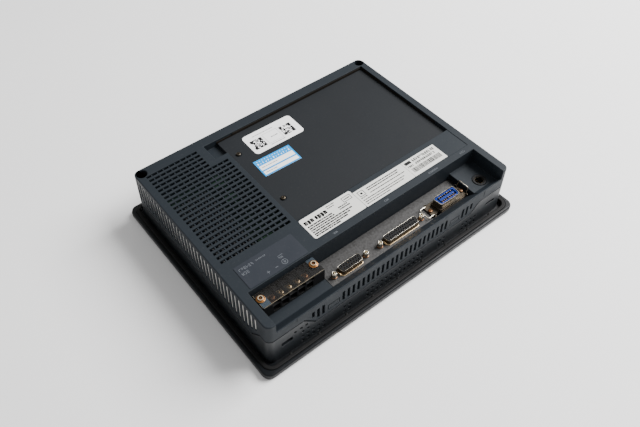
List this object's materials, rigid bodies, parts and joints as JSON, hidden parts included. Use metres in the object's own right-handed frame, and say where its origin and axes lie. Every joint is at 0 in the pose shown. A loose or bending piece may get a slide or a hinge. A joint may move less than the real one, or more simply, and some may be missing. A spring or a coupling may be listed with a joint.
{
  "type": "operator touch panel",
  "caption": "Industrial operator touch panel with a gasketed flange, vented rear housing, screw terminals, sockets and a card door.",
  "frame": {"origin": "centre of the underside, which is the face of the bezel", "axes": "+Z from the screen to the rear face, +Y to the long edge without sockets, +X to the right seen from behind"},
  "size_m": [0.317, 0.243, 0.0591],
  "materials": {
    "housing": "dark blue-grey moulded plastic with a fine satin grain",
    "cover": "neutral dark grey, matte, very fine grain",
    "rubber": "brown-black rubber, matte",
    "black": "black moulded plastic",
    "steel": "plain steel, satin",
    "zinc": "zinc plated steel, slightly dulled",
    "brass": "yellow passivated or brass fasteners, dulled",
    "blue": "bright blue moulded plastic",
    "paper": "off-white printed label",
    "film": "grey printed film",
    "clear": "clear acrylic",
    "glass": "touch glass over a dark screen",
    "board": "green circuit board",
    "aluminium": "plain aluminium, satin",
    "white": "white plastic",
    "ribbon": "amber flexible film"
  },
  "bodies": {
    "panel": {"front_bezel": "housing", "front_case": "housing", "rear_cover": "housing", "expansion_cover": "cover", "gasket": "rubber", "lcd_module": "black", "aux_insert": "black", "sio_insert": "black", "tool_socket": "black", "terminal_block": "black", "expansion_connector": "black", "cf_socket": "black", "io_plate": "steel", "battery": "steel", "corner_screw_1": "zinc", "corner_screw_2": "zinc", "aux_shell": "zinc", "sio_shell": "zinc", "jack_post_1": "zinc", "jack_post_2": "zinc", "jack_post_3": "zinc", "jack_post_4": "zinc", "printer_bracket": "zinc", "block_screw_1": "zinc", "block_screw_2": "zinc", "expansion_screw_1": "brass", "expansion_screw_2": "brass", "printer_screw_1": "brass", "printer_screw_2": "brass", "terminal_screw_1": "brass", "terminal_screw_2": "brass", "terminal_screw_3": "brass", "cover_screw_1": "brass", "cover_screw_2": "brass", "printer_insert": "blue", "dip_switch": "blue", "rating_label": "paper", "approval_label": "paper", "serial_label": "paper", "asset_label": "paper", "inspection_sticker": "paper", "power_label": "film", "terminal_cover": "clear", "touch_panel": "glass", "main_board": "board", "power_board": "board", "io_board": "board", "backlight_inverter": "board", "chassis_plate": "aluminium", "heat_sink": "aluminium", "status_lens": "white", "lcd_cable": "ribbon"},
    "bail_left": {"printer_bail_left": "steel"},
    "bail_right": {"printer_bail_right": "steel"},
    "card_door": {"cf_door": "housing"},
    "eject_button": {"cf_eject_button": "black"},
    "lever_1": {"dip_lever_1": "white"},
    "lever_2": {"dip_lever_2": "white"},
    "lever_3": {"dip_lever_3": "white"},
    "lever_4": {"dip_lever_4": "white"}
  },
  "joints": [
    {"name": "bail_left_hinge", "type": "hinge", "parent": "panel", "child": "bail_left", "pos_m": [0.0613, -0.0899, 0.0382], "axis": [0, 1, 0], "range_deg": [0, 125]},
    {"name": "bail_right_hinge", "type": "hinge", "parent": "panel", "child": "bail_right", "pos_m": [0.1053, -0.0899, 0.0382], "axis": [0, -1, 0], "range_deg": [-15, 45]},
    {"name": "card_door_hinge", "type": "hinge", "parent": "panel", "child": "card_door", "pos_m": [0.14695, 0.0674, 0.0345], "axis": [0, 0, 1], "range_deg": [0, 100]},
    {"name": "eject_slide", "type": "slide", "parent": "panel", "child": "eject_button", "axis": [-1, 0, 0], "range_m": [0, 0.003], "stiffness_N_per_m": 200, "springref_m": -0.002},
    {"name": "lever_1_slide", "type": "slide", "parent": "panel", "child": "lever_1", "axis": [0, 0, 1], "range_m": [0, 0.0012]},
    {"name": "lever_2_slide", "type": "slide", "parent": "panel", "child": "lever_2", "axis": [0, 0, 1], "range_m": [0, 0.0012]},
    {"name": "lever_3_slide", "type": "slide", "parent": "panel", "child": "lever_3", "axis": [0, 0, 1], "range_m": [0, 0.0012]},
    {"name": "lever_4_slide", "type": "slide", "parent": "panel", "child": "lever_4", "axis": [0, 0, 1], "range_m": [0, 0.0012]}
  ]
}
